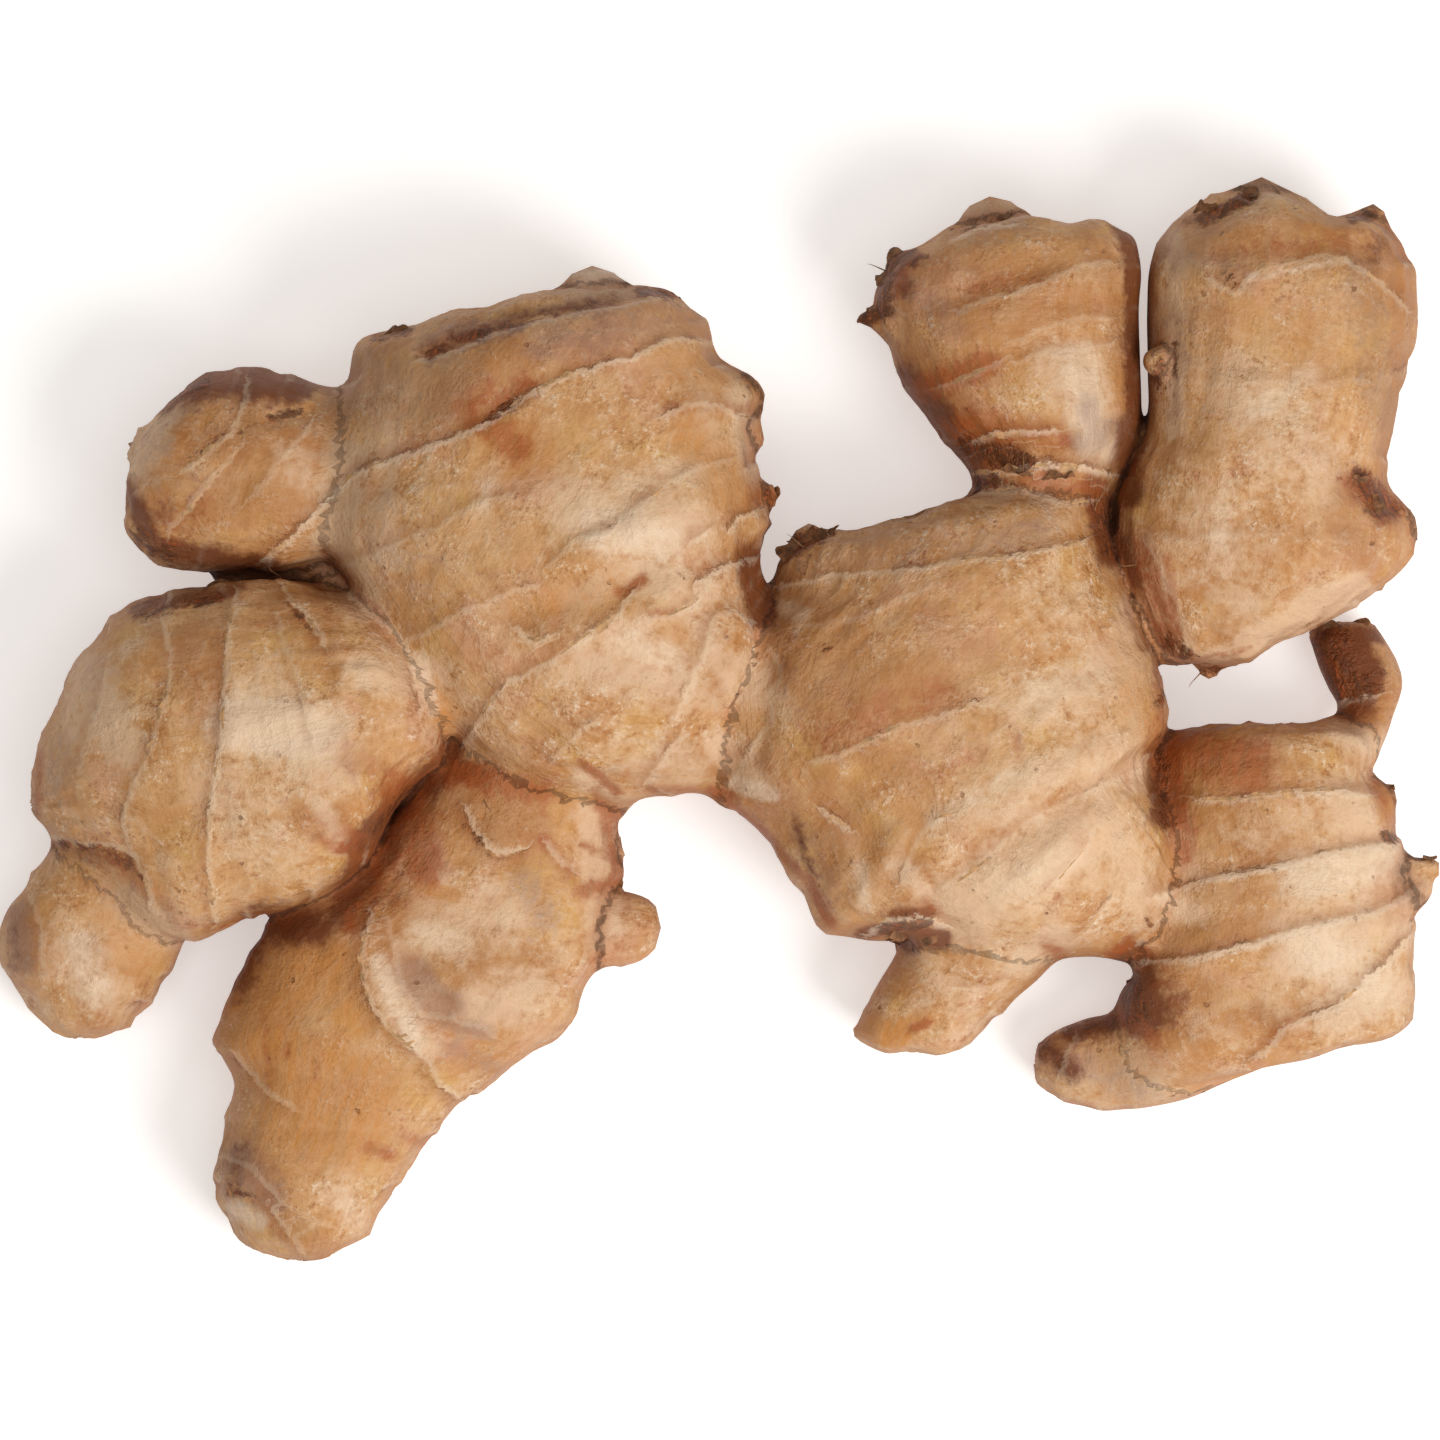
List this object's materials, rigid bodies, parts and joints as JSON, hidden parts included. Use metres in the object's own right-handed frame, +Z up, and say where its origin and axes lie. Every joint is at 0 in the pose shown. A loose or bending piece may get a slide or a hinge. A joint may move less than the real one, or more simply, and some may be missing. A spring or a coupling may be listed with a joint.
{
  "type": "ginger root",
  "caption": "Fresh ginger rhizome lying on its side: fat branching lobes with ringed papery skin, stub fingers, buds and dry stem scars.",
  "frame": {"origin": "centre of the bounding box at the level of the surface the root lies on", "axes": "+Z up from the surface, +X along the longest extent towards the pair of upright fingers and the far lobe, +Y towards the tips of those fingers"},
  "size_m": [0.1798, 0.135, 0.0409],
  "materials": {
    "ginger_skin": "matt, papery"
  },
  "bodies": {
    "root": {"ginger_rhizome": "ginger_skin"}
  },
  "joints": []
}
